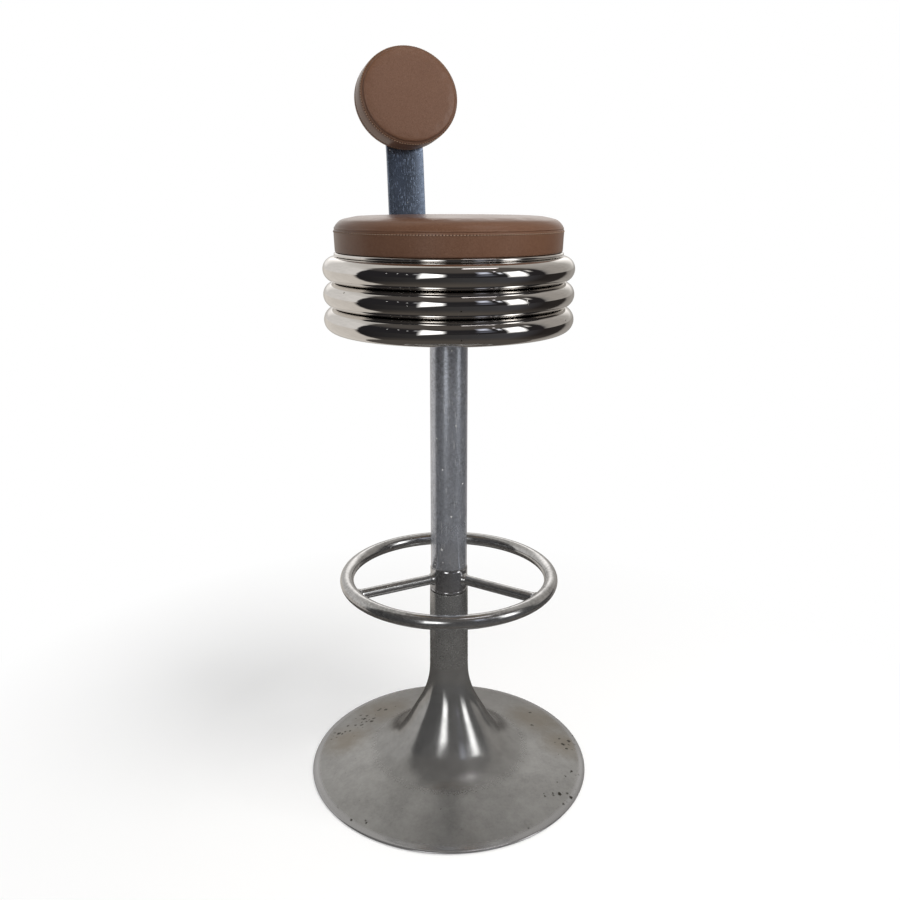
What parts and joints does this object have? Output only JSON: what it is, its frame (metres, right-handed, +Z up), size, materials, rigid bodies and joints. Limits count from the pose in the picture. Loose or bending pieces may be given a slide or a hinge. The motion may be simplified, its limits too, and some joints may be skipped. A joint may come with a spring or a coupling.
{
  "type": "diner counter stool",
  "caption": "Swivelling bar stool: trumpet base, chromed column with ring footrest, round cushion on stacked chrome hoops, and a round back pad on a bent flat bar.",
  "frame": {"origin": "on the floor under the centre of the column, at the base's lowest plane", "axes": "+Z up along the column and the swivel axis; +Y from the seat towards the back pad at rest, so a sitter faces -Y; +X to the sitter's left"},
  "size_m": [0.4032, 0.4034, 1.029],
  "materials": {
    "base_aluminium": "brushed, dulled, with dark pits",
    "ballast_iron": "rough black",
    "floor_rubber": "matte black",
    "zinc_steel": "zinc plated",
    "black_steel": "satin black",
    "worn_chrome": "worn chrome with fine scratches",
    "mirror_chrome": "mirror chrome with small scuffs",
    "nylon": "natural nylon",
    "plywood": "birch plywood, clear sealed",
    "foam": "open-cell foam",
    "brown_vinyl": "satin grained vinyl"
  },
  "bodies": {
    "base": {"floor_ring": "floor_rubber", "base_trumpet": "base_aluminium", "ballast_plate": "ballast_iron", "tie_rod_washer": "zinc_steel", "tie_rod_nut": "zinc_steel", "tie_rod": "zinc_steel", "spigot_sleeve": "zinc_steel", "column_plug": "zinc_steel", "column_tube": "worn_chrome", "footrest_hub": "worn_chrome", "footrest_ring": "worn_chrome", "footrest_spoke_1": "worn_chrome", "footrest_spoke_2": "worn_chrome", "footrest_spoke_3": "worn_chrome", "bearing_housing": "zinc_steel", "upper_bush": "nylon", "lower_bush": "nylon"},
    "seat": {"thrust_washer": "nylon", "swivel_spindle": "zinc_steel", "circlip": "zinc_steel", "swivel_plate": "black_steel", "swivel_bolt_1": "zinc_steel", "swivel_bolt_2": "zinc_steel", "swivel_bolt_3": "zinc_steel", "swivel_bolt_4": "zinc_steel", "bottom_board": "plywood", "core_block": "plywood", "top_board": "plywood", "hoop_bottom": "mirror_chrome", "hoop_middle": "mirror_chrome", "hoop_top": "mirror_chrome", "seat_pan": "mirror_chrome", "cushion_board": "plywood", "tee_nut_1": "zinc_steel", "tee_nut_2": "zinc_steel", "tee_nut_3": "zinc_steel", "tee_nut_4": "zinc_steel", "seat_bolt_1": "zinc_steel", "seat_bolt_2": "zinc_steel", "seat_bolt_3": "zinc_steel", "seat_bolt_4": "zinc_steel", "seat_foam": "foam", "seat_cover": "brown_vinyl", "back_bar": "mirror_chrome", "foot_bolt_1": "zinc_steel", "foot_bolt_2": "zinc_steel", "foot_bolt_3": "zinc_steel", "foot_bolt_4": "zinc_steel", "pad_board": "plywood", "pad_foam": "foam", "pad_cover": "brown_vinyl", "pad_screw_1": "zinc_steel", "pad_screw_2": "zinc_steel", "pad_screw_3": "zinc_steel", "pad_screw_4": "zinc_steel"}
  },
  "joints": [
    {"name": "seat_swivel", "type": "hinge", "parent": "base", "child": "seat", "pos_m": [0, 0, 0.62], "axis": [0, 0, 1], "continuous": true}
  ]
}
